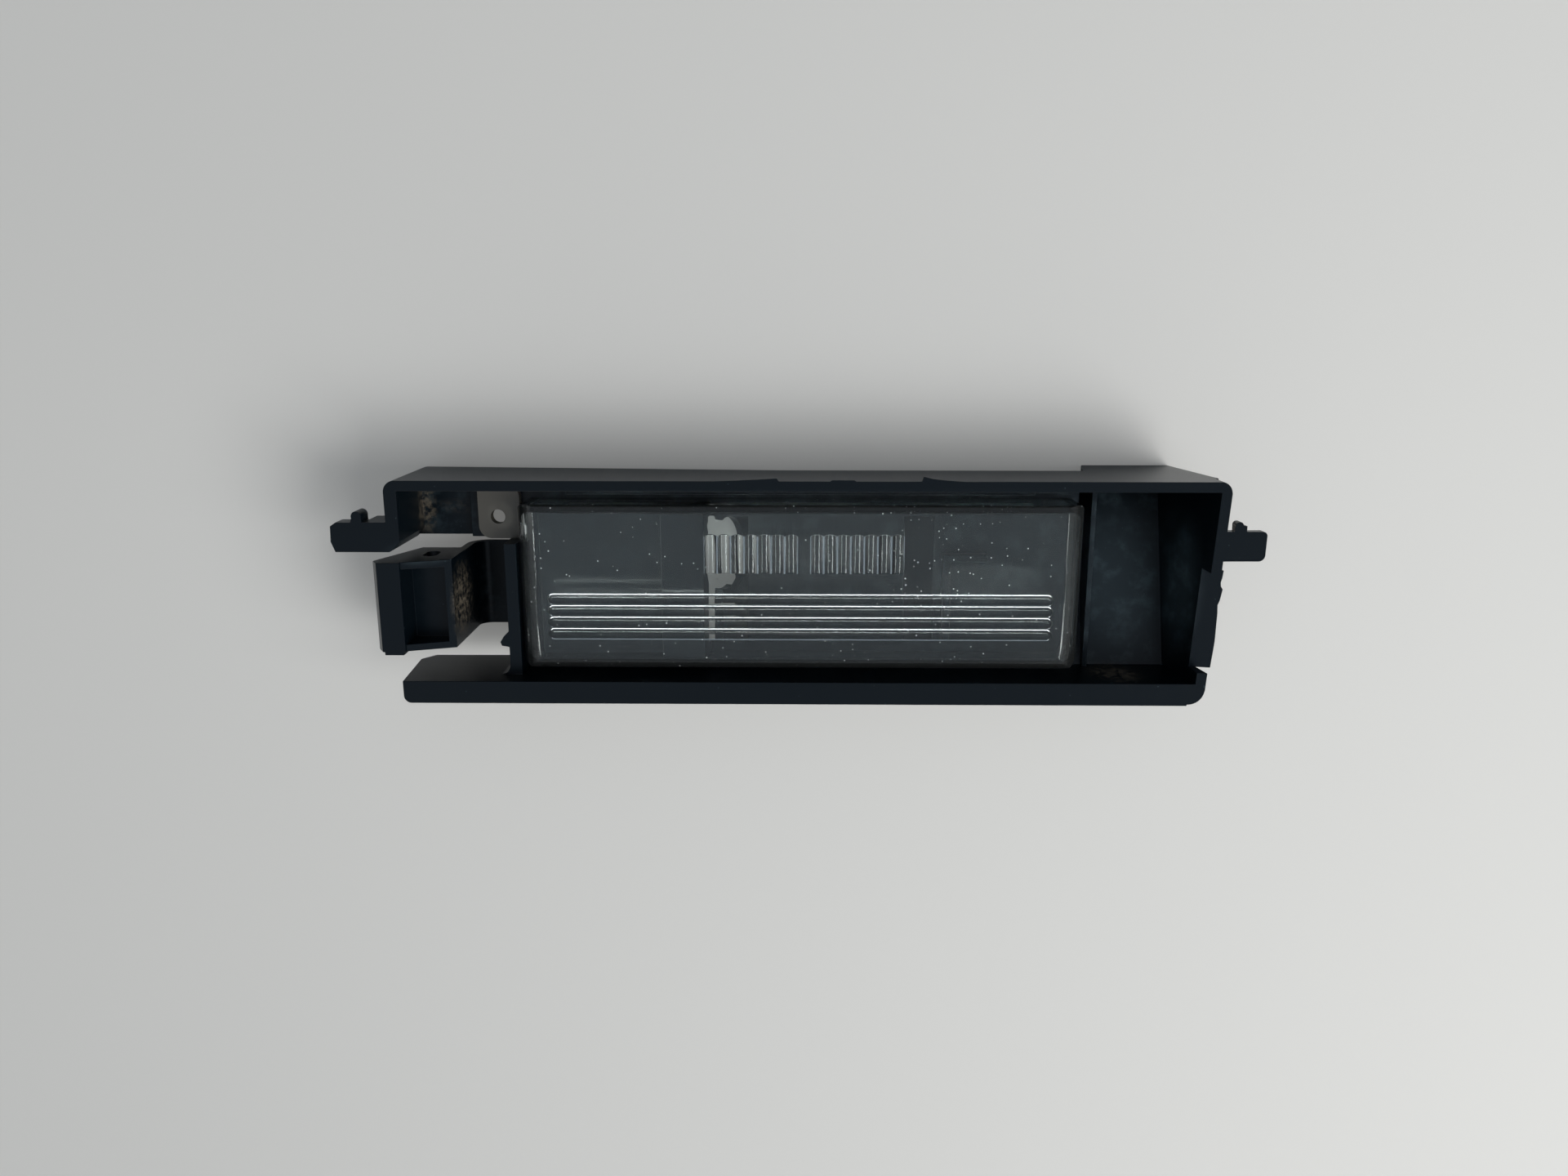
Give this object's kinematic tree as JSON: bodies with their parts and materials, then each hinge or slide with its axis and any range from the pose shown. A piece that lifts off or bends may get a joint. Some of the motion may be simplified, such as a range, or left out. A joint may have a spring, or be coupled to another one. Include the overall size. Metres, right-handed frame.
{
  "type": "number plate lamp",
  "caption": "Long shallow black moulded lamp housing with a clear fluted lens, a bulb holder opening, an integral snap latch at one end and locating tongues at both ends",
  "frame": {"origin": "middle of the housing rim's front plane", "axes": "X along the lamp towards its closed end, Y up the rim towards the deep wall, +Z out of the lens"},
  "size_m": [0.1419, 0.0359, 0.0196],
  "materials": {
    "housing_plastic": "black moulded plastic, satin, with dust and light wear",
    "lens_plastic": "clear moulded plastic with a frosted fixing tab"
  },
  "bodies": {
    "root": {"housing": "housing_plastic", "lens": "lens_plastic"}
  },
  "joints": []
}
